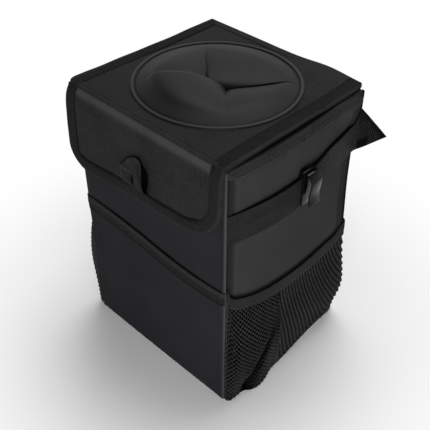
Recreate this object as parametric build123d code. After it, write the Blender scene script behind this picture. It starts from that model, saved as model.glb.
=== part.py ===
from build123d import *
import math
import os

# Soft car trash bin, open at the top, closed by a stiff cloth lid with a flap in front.
# X runs along the front from left to right, Y from front to back, Z up.
# The origin is the middle of the underside. All sizes are in millimetres.

# Overall size of the bin
width = 160.0
depth = 152.0
height = 250.0

# Thickness of each layer
cover_cloth = 0.8
board_thickness = 2.0
lining_cloth = 0.6
tape_thickness = 0.6
webbing_thickness = 1.2
mesh_thickness = 1.0

# Clearances
layer_gap = 0.1
seat_gap = 0.3

# Side walls: set in behind the front panel's edge and bowed outwards
side_recess = 2.0
side_bow = 4.0
side_corner_round = 2.0
panel_edge_round = 1.0
rim_tape_height = 15.0

# Front pocket
pocket_height = 131.4
pocket_foot_bow = 0.4
pocket_bow = 6.5
pocket_side_margin = 1.0
pocket_tape_height = 13.0

# Mesh pockets: plan of the right one between its front and back seams
mesh_corners = [(86.5, -69.0), (92.0, -52.0), (90.0, -24.0), (87.0, 40.0), (86.4, 62.0)]
mesh_floor_clearance = 0.4
mesh_top_front = 123.0
mesh_top_middle = 103.0
mesh_top_back = 108.0
mesh_tape_height = 14.0
mesh_hole_width = 6.0
mesh_hole_height = 7.5
mesh_hole_pitch = 9.0
mesh_row_pitch = 10.5
mesh_columns = 14
mesh_rows = 7
mesh_first_row = 13.0

# Webbing: side band, loop at the back corner and run across the back
webbing_height = 27.0
webbing_drop = 70.5
band_start_x = 79.2
band_bow_x = 86.5
band_middle_y = 6.0
band_end_y = 75.4
fold_reach = 2.2
loop_corners = [(100.0, 87.8), (96.0, 93.0)]
run_bend_x = 70.0
run_end_x = 52.0
run_gap = 8.0
fold_round = 1.6
loop_round = 2.2
run_round = 12.0

# Side clip, one bent plastic strip; points of its spring arm from the band outwards
clip_width = 12.0
clip_wall = 1.4
clip_gap = 0.35
clip_leg_rise = 6.5
clip_plate_drop = 3.5
clip_arm_reach = [7.1, 9.9, 8.3, 9.5]
clip_arm_fall = [0.0, 4.6, 18.6, 27.4]
clip_arm_round = 2.0

# Strap slider on the back run
slider_place = 18.0
slider_length = 20.0
slider_bar = 4.0
slider_bar_depth = 1.6
slider_rail = 3.2

# Lid
lid_overhang = 2.3
lid_tape_width = 12.0
hole_radius = 60.5
hinge_strip_height = 17.0

# Slit disc
disc_radius = 67.0
disc_ring_inner = 64.0
disc_ring_height = 2.4
disc_groove_inner = 62.8
disc_groove_level = 1.4
disc_crown_radius = 36.0
disc_crown_height = 7.0
disc_centre_height = 3.4
disc_sheet = 2.2
slit_length = 104.0
slit_width = 0.8

# Flap in front of the lid
flap_drop = 75.0
flap_corner = 34.0
flap_tape_width = 12.0
flap_hinge_rise = 0.4
flap_top_drop = 1.0

# Pull tab on the flap
tab_place = -8.0
tab_width = 28.0
tab_height = 31.0
tab_thickness = 1.2
tab_slot_width = 3.5
tab_slot_height = 14.0
tab_corner = 5.0
tab_lean = 7.0

# Hook and loop closure under the flap
closure_width = 60.0
closure_height = 20.0
closure_drop = 48.0
loop_thickness = 1.2

# Levels and lines worked out from the sizes above
half_width = width / 2
half_depth = depth / 2
seam_y = half_depth - cover_cloth - board_thickness
side_line = half_width - side_recess
side_radius = (seam_y ** 2 + side_bow ** 2) / (2 * side_bow)
side_centre_x = side_line + side_bow - side_radius
liner_inset = cover_cloth + board_thickness + 2 * layer_gap
side_stack = liner_inset + lining_cloth
lid_stack = cover_cloth + board_thickness + lining_cloth
lid_under = height - lid_stack
rim_top = lid_under - seat_gap - 2 * tape_thickness
strip_face = half_depth + tape_thickness + layer_gap
lip_face = strip_face
lid_front = -half_depth - lid_overhang
lid_back = lip_face + cover_cloth
hinge_z = rim_top + tape_thickness / 2
flap_inner = lid_front - seat_gap
flap_hinge_z = height + flap_hinge_rise
flap_top = flap_hinge_z - flap_top_drop
flap_low = height - flap_drop
hook_thickness = -half_depth - flap_inner - loop_thickness - seat_gap
webbing_low = height - webbing_drop
webbing_top = webbing_low + webbing_height
band_half_chord = seam_y + band_middle_y
band_rise = band_bow_x - band_start_x
band_radius = (band_half_chord ** 2 + band_rise ** 2) / (2 * band_rise)
band_centre_x = band_bow_x - band_radius
inner_run_y = half_depth + run_gap + webbing_thickness / 2
outer_run_y = inner_run_y + webbing_thickness + clip_gap


def block(low, high):
    size = [b - a for a, b in zip(low, high)]
    return Pos(*low) * Box(*size, align=(Align.MIN, Align.MIN, Align.MIN))


def prism(face, low, high):
    return extrude(Pos(0, 0, low) * face, amount=high - low)


def strip(edges, thickness, low, high):
    # Upright strip of cloth along a line in plan
    return prism(trace(edges, thickness), low, high)


def side_x(inset, y):
    return side_centre_x + math.sqrt((side_radius - inset) ** 2 - y ** 2)


def wall_plan(inset, half_length):
    # Plan of the body at one layer: straight front and back, bowed sides
    end = side_x(inset, half_length)
    middle = side_x(inset, 0)
    edges = [
        Line((-end, -half_length), (end, -half_length)),
        ThreePointArc((end, -half_length), (middle, 0), (end, half_length)),
        Line((end, half_length), (-end, half_length)),
        ThreePointArc((-end, half_length), (-middle, 0), (-end, -half_length)),
    ]
    return make_face(edges)


def right_half(shape):
    return shape & block((0, -width, -height), (width, width, 2 * height))


# Body walls

def make_front_panel():
    # Outer cloth wrapped round the edges of the stiff front board
    shell = block((-half_width, -half_depth, 0), (half_width, -seam_y, rim_top))
    corners = shell.edges().filter_by(Axis.Z).sort_by(Axis.Y)[:2]
    shell = fillet(corners, panel_edge_round)
    reach = half_width - cover_cloth
    return shell - block((-reach, -half_depth + cover_cloth, cover_cloth), (reach, -seam_y, height))


def make_front_board():
    reach = half_width - cover_cloth - layer_gap
    low = (-reach, -half_depth + cover_cloth, cover_cloth)
    return block(low, (reach, -seam_y, rim_top))


def make_side_panel():
    panel = right_half(prism(wall_plan(0, seam_y), cover_cloth, rim_top))
    corners = panel.edges().filter_by(Axis.Z).sort_by(Axis.X)[-2:]
    panel = fillet(corners, side_corner_round)
    panel = panel - prism(wall_plan(cover_cloth, seam_y - cover_cloth), 0, height)
    return panel - prism(wall_plan(liner_inset, seam_y), 0, height)


def make_side_board():
    outset = cover_cloth + layer_gap
    reach = seam_y - cover_cloth - layer_gap
    ring = wall_plan(outset, reach) - wall_plan(outset + board_thickness, seam_y)
    return right_half(prism(ring, cover_cloth + board_thickness, rim_top))


def make_bottom_panel():
    return prism(wall_plan(0, seam_y), 0, cover_cloth)


def make_bottom_board():
    inset = cover_cloth + layer_gap
    plan = wall_plan(inset, seam_y - inset)
    return prism(plan, cover_cloth, cover_cloth + board_thickness)


def make_inner_liner():
    floor = cover_cloth + board_thickness
    bag = prism(wall_plan(liner_inset, seam_y), floor, rim_top)
    inside = wall_plan(side_stack, seam_y - lining_cloth)
    return bag - prism(inside, floor + lining_cloth, rim_top)


def make_rim_binding():
    # Tape folded over the top edge of all four walls
    wall = wall_plan(0, seam_y) + (Rectangle(width, depth) - Rectangle(2 * width, 2 * seam_y))
    across = width + 2 * tape_thickness
    along = depth + 2 * tape_thickness
    ends = Rectangle(across, along) - Rectangle(2 * width, 2 * (seam_y - tape_thickness))
    outside = wall_plan(-tape_thickness, seam_y) + ends
    inside = wall_plan(side_stack, seam_y - lining_cloth)
    inmost = wall_plan(side_stack + tape_thickness, seam_y - lining_cloth - tape_thickness)
    low = rim_top - rim_tape_height
    tape = prism(outside - inmost, low, rim_top + tape_thickness)
    return tape - prism(wall - inside, low, rim_top)


def make_hinge_strip():
    # Cloth at the back that carries the lid, sewn on behind the rim tape
    low = (-half_width + side_recess, strip_face, hinge_z - seat_gap / 2 - hinge_strip_height)
    return block(low, (side_line, strip_face + cover_cloth, hinge_z - seat_gap / 2))


# Front pocket

def pocket_layer(near, far, low, high):
    # Layer of the pocket's wall, nearly flat at the foot and bowed forwards at the mouth
    reach = half_width - pocket_side_margin
    faces = []
    for level in (low, high):
        bow = pocket_foot_bow + (pocket_bow - pocket_foot_bow) * level / pocket_height
        inner = -half_depth - near
        outer = -half_depth - far
        edges = [
            ThreePointArc((-reach, inner), (0, inner - bow), (reach, inner)),
            Line((reach, inner), (reach, outer)),
            ThreePointArc((reach, outer), (0, outer - bow), (-reach, outer)),
            Line((-reach, outer), (-reach, inner)),
        ]
        faces.append(Pos(0, 0, level) * make_face(edges))
    return loft(faces, ruled=True)


def make_front_pocket():
    return pocket_layer(0, cover_cloth, cover_cloth, pocket_height)


def make_front_pocket_binding():
    low = pocket_height - pocket_tape_height
    high = pocket_height + layer_gap
    spread = layer_gap + tape_thickness
    tape = pocket_layer(-spread, cover_cloth + spread, low, high + tape_thickness)
    tape = tape - pocket_layer(-layer_gap, cover_cloth + layer_gap, low - 1, high)
    return tape & block((-width, -depth, 0), (width, -half_depth, height))


# Mesh pockets

def mesh_plan(spread):
    start = (side_line + layer_gap, -seam_y)
    end = (side_line + layer_gap, seam_y)
    plan = make_face(Polyline(start, *mesh_corners, end, close=True))
    if spread:
        plan = offset(plan, amount=spread, kind=Kind.INTERSECTION)
    return plan


def mesh_zone(rise):
    # Everything below the pocket's sagging top edge
    front = (-seam_y, mesh_top_front + rise)
    back = (seam_y, mesh_top_back + rise)
    edges = [
        ThreePointArc(front, (0, mesh_top_middle + rise), back),
        Line(back, (seam_y, 0)),
        Line((seam_y, 0), (-seam_y, 0)),
        Line((-seam_y, 0), front),
    ]
    return extrude(Plane.YZ * make_face(edges), amount=width)


def mesh_holes():
    tip_y = mesh_hole_width / 2
    tip_z = mesh_hole_height / 2
    diamond = make_face(Polyline((-tip_y, 0), (0, -tip_z), (tip_y, 0), (0, tip_z), close=True))
    start = -mesh_hole_pitch * (mesh_columns - 1) / 2
    places = []
    for row in range(mesh_rows):
        stagger = row % 2
        for column in range(mesh_columns - stagger):
            y = start + mesh_hole_pitch * (column + stagger / 2)
            places.append((y, mesh_first_row + mesh_row_pitch * row))
    return extrude(Plane.YZ * (Sketch() + Locations(*places) * diamond), amount=width)


def make_mesh_pocket():
    pocket = prism(mesh_plan(0), mesh_floor_clearance, height)
    pocket = pocket - prism(mesh_plan(-mesh_thickness), mesh_floor_clearance + mesh_thickness, height)
    pocket = pocket - prism(wall_plan(-layer_gap, seam_y), 0, height)
    return (pocket & mesh_zone(0)) - mesh_holes()


def make_mesh_binding():
    # Elastic tape folded over the pocket's top edge
    spread = layer_gap + tape_thickness
    tape = prism(mesh_plan(spread) - mesh_plan(-mesh_thickness - spread), 0, height)
    hollow = prism(mesh_plan(layer_gap) - mesh_plan(-mesh_thickness - layer_gap), 0, height)
    tape = (tape & mesh_zone(spread)) - (hollow & mesh_zone(layer_gap))
    tape = tape - mesh_zone(-mesh_tape_height)
    return tape - prism(wall_plan(-layer_gap, seam_y), 0, height)


# Webbing and its hardware

def make_webbing(run_y):
    # Right-hand strip: side band, loop at the back corner, run across the back
    end_x = band_centre_x + math.sqrt(band_radius ** 2 - (band_end_y - band_middle_y) ** 2)
    slope = (band_end_y - band_middle_y) / band_radius
    fold = (end_x - slope * fold_reach, band_end_y + fold_reach)
    band = ThreePointArc((band_start_x, -seam_y), (band_bow_x, band_middle_y), (end_x, band_end_y))
    rounds = [fold_round, loop_round, loop_round, run_round]
    points = [(end_x, band_end_y), fold, *loop_corners, (run_bend_x, run_y), (-run_end_x, run_y)]
    loop = FilletPolyline(*points, radius=rounds)
    side = strip(band, webbing_thickness, webbing_low, webbing_top)
    side = side - block((0, -depth, 0), (width, -seam_y, height))
    return side + strip(loop, webbing_thickness, webbing_low, webbing_top)


def make_side_clip():
    # Drawn upright: X away from the band's middle, Y up, then stood on the band
    inner = webbing_thickness / 2 + clip_gap
    outer = inner + clip_wall
    top = webbing_top + clip_gap + clip_wall / 2
    arm = [(outer - clip_wall / 2, top)]
    for reach, fall in zip(clip_arm_reach, clip_arm_fall):
        arm.append((reach, top - fall))
    profile = trace(FilletPolyline(*arm, radius=clip_arm_round), clip_wall)
    middle = inner + clip_wall / 2
    plate = Line((middle, webbing_low - clip_plate_drop), (middle, top))
    leg = Line((-middle, webbing_low + clip_leg_rise), (-middle, top))
    profile = profile + trace(plate, clip_wall) + trace(leg, clip_wall)
    bridge = Line((-outer, top), (outer, top))
    profile = profile + trace(bridge, clip_wall)
    place = Plane(origin=(band_bow_x, band_middle_y, 0), x_dir=(1, 0, 0), z_dir=(0, -1, 0))
    return extrude(place * profile, amount=clip_width / 2, both=True)


def make_strap_slider():
    # Three-bar slider round both layers of the back run
    back = inner_run_y - webbing_thickness / 2 - clip_gap
    front = outer_run_y + webbing_thickness / 2 + clip_gap
    low = slider_place - slider_length / 2
    high = slider_place + slider_length / 2
    foot = webbing_low - clip_gap
    head = webbing_top + clip_gap
    slider = block((low, back - slider_bar_depth, foot - slider_rail),
                   (high, front + slider_bar_depth, head + slider_rail))
    slider = slider - block((low, back, foot), (high, front, head))
    middle = slider_bar / 2
    gap = block((low, 0, foot), (slider_place - middle, back, head))
    slider = slider - gap - Pos(slider_length / 2 + middle, 0, 0) * gap
    window = block((low + slider_bar, front, foot), (high - slider_bar, depth, head))
    return slider - window


# Lid

def lid_plate(low, high, front, back, reach):
    plate = block((-reach, front, low), (reach, back, high))
    return plate - Pos(0, 0, low) * Cylinder(hole_radius, height)


def make_lid_cover():
    # Cloth turned down over the front edge, and further down at the back to the hinge
    cover = lid_plate(hinge_z, height, lid_front, lid_back, half_width)
    under = height - cover_cloth
    cover = cover - block((-width, lid_front, 0), (width, lip_face, lid_under))
    return cover - block((-width, lid_front + cover_cloth, 0), (width, lip_face, under))


def make_lid_board():
    front = lid_front + cover_cloth + layer_gap
    low = lid_under + lining_cloth
    reach = half_width - layer_gap
    return lid_plate(low, low + board_thickness, front, lip_face - layer_gap, reach)


def make_lid_lining():
    front = lid_front + cover_cloth + layer_gap
    low = lid_under
    reach = half_width - layer_gap
    return lid_plate(low, low + lining_cloth, front, lip_face - layer_gap, reach)


def make_lid_binding():
    # Tape round the lid's right edge
    outer = half_width + tape_thickness
    inner = outer - lid_tape_width
    low = (inner, lid_front, lid_under - tape_thickness)
    tape = block(low, (outer, lip_face - layer_gap, height + tape_thickness))
    return tape - block((0, -width, lid_under), (half_width, width, height))


def make_slit_disc():
    crown = height + disc_crown_height
    centre = height + disc_centre_height
    edge = (disc_groove_inner, height + disc_groove_level)
    over_crown = Spline(
        edge, (disc_crown_radius, crown), (0, centre),
        tangents=[(-1, 0.9), (-1, 0)],
    )
    under_crown = Spline(
        (0, centre - disc_sheet), (disc_crown_radius, crown - disc_sheet), (hole_radius, height),
        tangents=[(1, 0), (1, -0.7)],
    )
    rim = Polyline(
        (hole_radius, height), (disc_radius, height), (disc_radius, height + disc_ring_height),
        (disc_ring_inner, height + disc_ring_height),
        (disc_ring_inner, height + disc_groove_level), edge,
    )
    axis = Line((0, centre), (0, centre - disc_sheet))
    disc = revolve(Plane.XZ * make_face([*rim.edges(), over_crown, axis, under_crown]), Axis.Z)
    slit = Pos(0, 0, height) * Box(slit_length, slit_width, height)
    for angle in (45, 135):
        disc = disc - Rot(0, 0, angle) * slit
    return disc


# Flap

def flap_face(spread):
    # Outline of the flap seen from the front
    low = flap_low - spread
    outline = Pos(0, (low + flap_top) / 2) * Rectangle(width + 2 * spread, flap_top - low)
    corners = outline.vertices().sort_by(Axis.Y)[:2]
    return fillet(corners, flap_corner + spread)


def flap_sheet(spread, near, far):
    # Layer of the flap between two distances forwards of its inner face
    return extrude(Plane.XZ.offset(near - flap_inner) * flap_face(spread), amount=far - near)


def make_flap_cover():
    return flap_sheet(0, lining_cloth + board_thickness, lid_stack)


def make_flap_board():
    return flap_sheet(-layer_gap, lining_cloth, lining_cloth + board_thickness)


def make_flap_lining():
    return flap_sheet(0, 0, lining_cloth)


def make_flap_binding():
    tape = flap_sheet(tape_thickness, -tape_thickness, lid_stack + tape_thickness)
    tape = tape - flap_sheet(0, 0, lid_stack)
    window = flap_sheet(tape_thickness - flap_tape_width, -depth, depth)
    under_lid = lid_under - tape_thickness - seat_gap
    return tape - window - block((-width, flap_inner, under_lid), (width, 0, height))


def make_pull_tab():
    # Ribbon folded into an arch, its feet on the flap and its top leaning away
    foot = flap_low + flap_tape_width + layer_gap
    arch = Rectangle(tab_width, tab_height, align=(Align.CENTER, Align.MIN))
    arch = fillet(arch.vertices().sort_by(Axis.Y)[-2:], tab_corner)
    slot = Rectangle(tab_slot_width, tab_slot_height, align=(Align.CENTER, Align.MIN))
    tab = extrude(Plane.XZ * (arch - slot), amount=tab_thickness)
    place = Pos(tab_place, flap_inner - lid_stack, foot)
    return place * Rot(tab_lean, 0, 0) * tab


def make_loop_tape():
    reach = closure_width / 2
    low = height - closure_drop - closure_height / 2
    return block((-reach, -half_depth - loop_thickness, low),
                 (reach, -half_depth, low + closure_height))


def make_hook_tape():
    reach = closure_width / 2
    low = height - closure_drop - closure_height / 2
    return block((-reach, flap_inner, low),
                 (reach, flap_inner + hook_thickness, low + closure_height))


def main():
    front_panel = make_front_panel()
    front_board = make_front_board()
    side_panel = make_side_panel()
    side_board = make_side_board()
    mesh_pocket = make_mesh_pocket()
    mesh_binding = make_mesh_binding()
    side_clip = make_side_clip()
    lid_binding = make_lid_binding()
    parts = {
        "front_panel": front_panel,
        "back_panel": mirror(front_panel, about=Plane.XZ),
        "side_panel_right": side_panel,
        "side_panel_left": mirror(side_panel, about=Plane.YZ),
        "bottom_panel": make_bottom_panel(),
        "front_board": front_board,
        "back_board": mirror(front_board, about=Plane.XZ),
        "side_board_right": side_board,
        "side_board_left": mirror(side_board, about=Plane.YZ),
        "bottom_board": make_bottom_board(),
        "inner_liner": make_inner_liner(),
        "rim_binding": make_rim_binding(),
        "hinge_strip": make_hinge_strip(),
        "front_pocket": make_front_pocket(),
        "front_pocket_binding": make_front_pocket_binding(),
        "mesh_pocket_right": mesh_pocket,
        "mesh_pocket_left": mirror(mesh_pocket, about=Plane.YZ),
        "mesh_binding_right": mesh_binding,
        "mesh_binding_left": mirror(mesh_binding, about=Plane.YZ),
        "webbing_right": make_webbing(inner_run_y),
        "webbing_left": mirror(make_webbing(outer_run_y), about=Plane.YZ),
        "loop_tape": make_loop_tape(),
        "side_clip_right": side_clip,
        "side_clip_left": mirror(side_clip, about=Plane.YZ),
        "strap_slider": make_strap_slider(),
        "lid_cover": make_lid_cover(),
        "lid_board": make_lid_board(),
        "lid_lining": make_lid_lining(),
        "lid_binding_right": lid_binding,
        "lid_binding_left": mirror(lid_binding, about=Plane.YZ),
        "slit_disc": make_slit_disc(),
        "flap_cover": make_flap_cover(),
        "flap_board": make_flap_board(),
        "flap_lining": make_flap_lining(),
        "flap_binding": make_flap_binding(),
        "pull_tab": make_pull_tab(),
        "hook_tape": make_hook_tape(),
    }
    os.makedirs("parts", exist_ok=True)
    for name, shape in parts.items():
        export_step(shape, f"parts/{name}.step")


main()
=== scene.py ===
import math

import bpy
import numpy as np
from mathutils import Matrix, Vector


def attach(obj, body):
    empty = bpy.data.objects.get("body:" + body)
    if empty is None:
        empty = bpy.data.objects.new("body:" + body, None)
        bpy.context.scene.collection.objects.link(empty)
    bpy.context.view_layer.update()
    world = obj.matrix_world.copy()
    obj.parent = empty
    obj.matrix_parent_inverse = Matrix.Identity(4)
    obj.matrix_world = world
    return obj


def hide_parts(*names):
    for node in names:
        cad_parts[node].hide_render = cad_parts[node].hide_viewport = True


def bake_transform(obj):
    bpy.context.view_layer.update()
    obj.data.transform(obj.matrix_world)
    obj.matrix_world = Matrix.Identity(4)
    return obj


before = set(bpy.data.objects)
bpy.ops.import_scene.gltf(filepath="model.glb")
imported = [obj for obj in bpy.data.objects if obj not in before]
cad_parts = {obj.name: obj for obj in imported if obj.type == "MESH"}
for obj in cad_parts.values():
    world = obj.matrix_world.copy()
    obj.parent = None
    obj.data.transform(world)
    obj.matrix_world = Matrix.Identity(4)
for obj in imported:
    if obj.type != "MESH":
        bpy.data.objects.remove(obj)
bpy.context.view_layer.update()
mm = 0.001  # the sizes below are in millimetres


bothSides = ((1, "right"), (-1, "left"))


def deselectAll():
    bpy.ops.object.select_all(action="DESELECT")


def selectOnly(*pieces):
    # The first one is the active one
    deselectAll()
    for piece in pieces:
        piece.select_set(True)
    bpy.context.view_layer.objects.active = pieces[0]


def ease(value, low=0.0, high=1.0):
    share = min(1.0, max(0.0, (value - low) / (high - low)))
    return share * share * (3 - 2 * share)


def hump(value, middle, spread):
    return math.exp(-((value - middle) / spread) ** 2)


def spaced(share, stops, places):
    # Place of a share on a row of stops, straight between one stop and the next
    return float(np.interp(share, stops, places))


def roundedLine(points, rounds=3):
    # Cuts the corners of a line again and again, and keeps its ends
    line = np.array(points, float)
    for _ in range(rounds):
        near = line[:-1] * 0.75 + line[1:] * 0.25
        far = line[:-1] * 0.25 + line[1:] * 0.75
        middle = np.stack([near, far], 1).reshape(-1, line.shape[1])
        line = np.vstack([line[:1], middle, line[-1:]])
    return line


def runLength(line):
    # Length run at each point of a line
    return np.concatenate([[0], np.cumsum(np.linalg.norm(np.diff(line, axis=0), axis=1))])


def along(line, share):
    # Point of a line at a share of its length
    lengths = runLength(line)
    return np.array([np.interp(share * lengths[-1], lengths, line[:, k]) for k in range(line.shape[1])])


def lineLength(line):
    return float(np.linalg.norm(np.diff(line, axis=0), axis=1).sum())


def meshPiece(name, points, faces, uvs=None):
    mesh = bpy.data.meshes.new(name)
    mesh.from_pydata([tuple(p) for p in points], [], [tuple(int(k) for k in f) for f in faces])
    if uvs is not None:
        layer = mesh.uv_layers.new(name="UVMap")
        order = np.zeros(len(mesh.loops), np.int32)
        mesh.loops.foreach_get("vertex_index", order)
        layer.data.foreach_set("uv", np.array(uvs, np.float32)[order].ravel())
    mesh.validate()
    piece = bpy.data.objects.new(name, mesh)
    bpy.context.scene.collection.objects.link(piece)
    return piece


def smoothFaces(piece, angle):
    selectOnly(piece)
    bpy.ops.object.shade_smooth_by_angle(angle=math.radians(angle))


def applyModifiers(piece):
    selectOnly(piece)
    for modifier in list(piece.modifiers):
        bpy.ops.object.modifier_apply(modifier=modifier.name)


def layCloth(name, across, downward, place, thick, facing=None, closed=False, angle=40):
    # Sheet of cloth laid over place(u, v), with its thickness on the side away from facing
    us = np.linspace(0, 1, across + 1)[:across if closed else across + 1]
    vs = np.linspace(0, 1, downward + 1)
    outer = np.array([[place(u, v) for v in vs] for u in us], float)
    if closed:
        du = np.roll(outer, -1, 0) - np.roll(outer, 1, 0)
    else:
        du = np.gradient(outer, axis=0)
    dv = np.gradient(outer, axis=1)
    normals = np.cross(du, dv)
    lengths = np.linalg.norm(normals, axis=2, keepdims=True)
    normals = np.where(lengths > 1e-9, normals / np.maximum(lengths, 1e-9), 0)
    if facing is None:
        away = outer - outer.reshape(-1, 3).mean(0)
        turn = np.sign((normals * away).sum())
    else:
        turn = np.sign((normals @ np.array(facing, float)).sum())
    depth = np.array([[thick(u, v) if callable(thick) else thick for v in vs] for u in us])
    inner = outer - turn * normals * depth[..., None]
    columns, rows = outer.shape[:2]
    count = columns * rows
    index = np.arange(count).reshape(columns, rows)
    right = np.roll(index, -1, 0) if closed else index[1:]
    left = index if closed else index[:-1]
    quads = np.stack([left[:, :-1], right[:, :-1], right[:, 1:], left[:, 1:]], -1).reshape(-1, 4)
    faces = [quads, quads[:, ::-1] + count]
    for a, b in ((right[:, 0], left[:, 0]), (left[:, -1], right[:, -1])):
        faces.append(np.stack([a, b, b + count, a + count], -1))
    if not closed:
        for a, b in ((index[0, :-1], index[0, 1:]), (index[-1, 1:], index[-1, :-1])):
            faces.append(np.stack([a, b, b + count, a + count], -1))
    faces = np.vstack(faces)
    if turn < 0:
        faces = faces[:, ::-1]
    points = np.vstack([outer.reshape(-1, 3), inner.reshape(-1, 3)]) * mm
    # The UV map is in metres, measured along the middle of the cloth each way
    runAcross, runDown = runLength(outer[:, rows // 2]), runLength(outer[columns // 2])
    uv = np.stack(np.meshgrid(runAcross, runDown, indexing="ij"), -1).reshape(-1, 2) * mm
    piece = meshPiece(name, points, faces, np.vstack([uv, uv]))
    smoothFaces(piece, angle)
    return piece


def joinPieces(name, pieces):
    selectOnly(*pieces)
    bpy.ops.object.join()
    pieces[0].name = name
    return pieces[0]


def paintLightAndShade(piece, rule):
    # The rule takes a point in millimetres and gives its tone: a painted highlight above 0, painted shade below
    marks = piece.data.attributes.new("tone", "FLOAT", "POINT")
    marks.data.foreach_set("value", [rule(*(v.co / mm)) for v in piece.data.vertices])


def finishPiece(piece, body, material, slot, *nodes):
    piece.data.materials.clear()
    piece.data.materials.append(material)
    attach(piece, body)
    if nodes:
        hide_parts(*nodes)


def link(tree, value, socket):
    if isinstance(value, bpy.types.NodeSocket):
        tree.links.new(value, socket)
    else:
        socket.default_value = value


def maths(tree, operation, first, second=None, third=None):
    node = tree.nodes.new("ShaderNodeMath")
    node.operation = operation
    for socket, value in zip(node.inputs, (first, second, third)):
        if value is not None:
            link(tree, value, socket)
    return node.outputs[0]


def newGroup(name, inputs, outputs):
    group = bpy.data.node_groups.new(name, "ShaderNodeTree")
    for label, kind, value in inputs:
        socket = group.interface.new_socket(label, in_out="INPUT", socket_type=kind)
        if value is not None:
            socket.default_value = value
    for label, kind in outputs:
        group.interface.new_socket(label, in_out="OUTPUT", socket_type=kind)
    start = group.nodes.new("NodeGroupInput")
    end = group.nodes.new("NodeGroupOutput")
    return group, start, end


def weaveGroup():
    # Plain weave seen on every side of a piece: crests where two sine waves meet
    group, start, end = newGroup("plainWeave", [
        ("Vector", "NodeSocketVector", None), ("Threads", "NodeSocketFloat", 1000.0),
    ], [("Height", "NodeSocketFloat")])
    split = group.nodes.new("ShaderNodeSeparateXYZ")
    group.links.new(start.outputs["Vector"], split.inputs[0])
    waves = []
    for axis in range(3):
        turn = maths(group, "MULTIPLY", split.outputs[axis], start.outputs["Threads"])
        waves.append(maths(group, "SINE", maths(group, "MULTIPLY", turn, math.pi)))
    crests = [maths(group, "MULTIPLY", waves[a], waves[b]) for a, b in ((0, 1), (1, 2), (2, 0))]
    total = maths(group, "ADD", maths(group, "ADD", crests[0], crests[1]), crests[2])
    group.links.new(maths(group, "MULTIPLY_ADD", total, 0.33, 0.5), end.inputs["Height"])
    return group


def mottleGroup():
    # Broad clouds and fine specks of tone, from 0 to 1 about a middle of 0.5
    group, start, end = newGroup("clothMottle", [
        ("Vector", "NodeSocketVector", None), ("Broad", "NodeSocketFloat", 25.0),
        ("Fine", "NodeSocketFloat", 900.0),
    ], [("Clouds", "NodeSocketFloat"), ("Specks", "NodeSocketFloat")])
    for label, output, detail in (("Broad", "Clouds", 3.0), ("Fine", "Specks", 2.0)):
        noise = group.nodes.new("ShaderNodeTexNoise")
        noise.inputs["Detail"].default_value = detail
        group.links.new(start.outputs["Vector"], noise.inputs["Vector"])
        group.links.new(start.outputs[label], noise.inputs["Scale"])
        group.links.new(noise.outputs["Fac"], end.inputs[output])
    return group


def ribGroup():
    # Rounded ribs across a strip, counted along one of its two directions
    group, start, end = newGroup("clothRibs", [
        ("Along", "NodeSocketFloat", 0.0), ("Pitch", "NodeSocketFloat", 0.002),
    ], [("Height", "NodeSocketFloat")])
    turn = maths(group, "DIVIDE", start.outputs["Along"], start.outputs["Pitch"])
    wave = maths(group, "SINE", maths(group, "MULTIPLY", turn, 2 * math.pi))
    group.links.new(maths(group, "MULTIPLY_ADD", wave, 0.5, 0.5), end.inputs["Height"])
    return group


def lightShadeGroup():
    # Paints a highlight onto a colour where the tone is above 0, and paints shade over it where the tone is below
    group, start, end = newGroup("paintedLightShade", [
        ("Color", "NodeSocketColor", None), ("Tone", "NodeSocketFloat", 0.0), ("Pale", "NodeSocketFloat", 0.05),
    ], [("Color", "NodeSocketColor")])
    lift = maths(group, "MAXIMUM", start.outputs["Tone"], 0.0)
    sink = maths(group, "MAXIMUM", maths(group, "MULTIPLY", start.outputs["Tone"], -1.0), 0.0)
    scaled = group.nodes.new("ShaderNodeVectorMath")
    scaled.operation = "SCALE"
    group.links.new(start.outputs["Color"], scaled.inputs[0])
    group.links.new(maths(group, "SUBTRACT", 1.0, sink), scaled.inputs["Scale"])
    added = group.nodes.new("ShaderNodeVectorMath")
    added.operation = "ADD"
    group.links.new(scaled.outputs[0], added.inputs[0])
    group.links.new(maths(group, "MULTIPLY", lift, start.outputs["Pale"]), added.inputs[1])
    group.links.new(added.outputs[0], end.inputs["Color"])
    return group


def chevronGroup():
    # Twill that runs one way, then the other, in stripes along a strip
    group, start, end = newGroup("chevronTwill", [
        ("Vector", "NodeSocketVector", None), ("Pitch", "NodeSocketFloat", 0.002),
        ("Stripe", "NodeSocketFloat", 0.0068),
    ], [("Height", "NodeSocketFloat")])
    split = group.nodes.new("ShaderNodeSeparateXYZ")
    group.links.new(start.outputs["Vector"], split.inputs[0])
    fold = maths(group, "PINGPONG", split.outputs[1], start.outputs["Stripe"])
    slant = maths(group, "ADD", split.outputs[0], fold)
    turn = maths(group, "MULTIPLY", maths(group, "DIVIDE", slant, start.outputs["Pitch"]), 2 * math.pi)
    group.links.new(maths(group, "MULTIPLY_ADD", maths(group, "SINE", turn), 0.5, 0.5), end.inputs["Height"])
    return group


weave, mottle, ribs, chevron, paintedLightGroup = weaveGroup(), mottleGroup(), ribGroup(), chevronGroup(), lightShadeGroup()


def useGroup(tree, group, **inputs):
    node = tree.nodes.new("ShaderNodeGroup")
    node.node_tree = group
    for label, value in inputs.items():
        link(tree, value, node.inputs[label])
    return node


# What a finish has where it names nothing else
# One of these is how far a painted highlight lifts the colour where a piece's tone is above 0
plainLook = dict(broad=25.0, fine=900.0, speckShare=.4, speckDepth=.2, threads=0, weaveShare=.25, ribsAcross=0,
                 ribShare=.3, twill=0, stripe=.0068, twillShare=.4, holes=None, bump=.3, bumpDepth=.0002,
                 paintedHighlight=.05, specular=.1, sheen=0)
cloudShare, rampStops, sheenRough = .6, (.25, .75), .5
holeSpread, holeDepth = -1.6, -.8


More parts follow.
